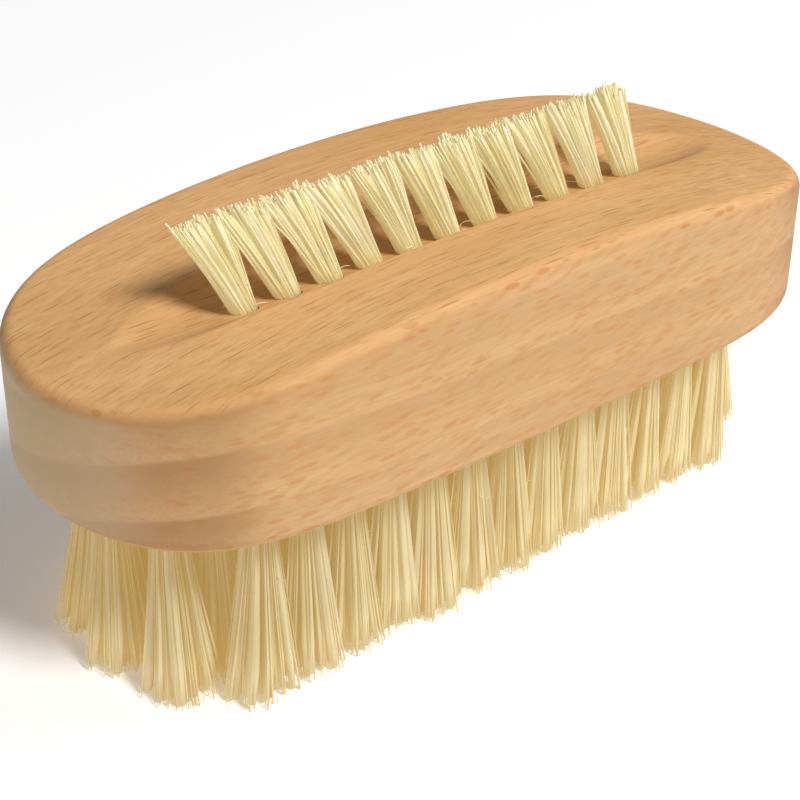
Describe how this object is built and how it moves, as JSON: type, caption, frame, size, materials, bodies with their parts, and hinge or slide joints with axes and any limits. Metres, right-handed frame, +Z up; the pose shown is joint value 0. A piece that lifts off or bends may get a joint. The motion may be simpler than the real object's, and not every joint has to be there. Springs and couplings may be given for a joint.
{
  "type": "nail brush",
  "caption": "Two-sided wooden nail brush: a rounded beech block with rows of plant-fibre tufts below and a single row of tufts in a groove along its crowned top.",
  "frame": {"origin": "Middle of the brush in plan, on the plane of the trimmed under tufts that it stands on.", "axes": "+X along the block, the way of the groove, to the right in the picture's near side; +Y across the block, from the near side to the far side; +Z up, from the under tufts to the top row."},
  "size_m": [0.095, 0.039, 0.0453],
  "materials": {
    "wood": "fine sanded beech, bare or thinly oiled, matte",
    "bristle": "pale plant fibre, matte",
    "wire": "flat rolled steel wire, satin"
  },
  "bodies": {
    "root": {"brush_block": "wood", "top_tuft_01": "bristle", "top_tuft_02": "bristle", "top_tuft_03": "bristle", "top_tuft_04": "bristle", "top_tuft_05": "bristle", "top_tuft_06": "bristle", "top_tuft_07": "bristle", "top_tuft_08": "bristle", "top_tuft_09": "bristle", "top_tuft_10": "bristle", "top_tuft_11": "bristle", "under_row_1": "bristle", "under_row_2": "bristle", "under_row_3": "bristle", "under_row_4": "bristle", "under_row_5": "bristle", "top_anchors": "wire", "under_anchors": "wire"}
  },
  "joints": []
}
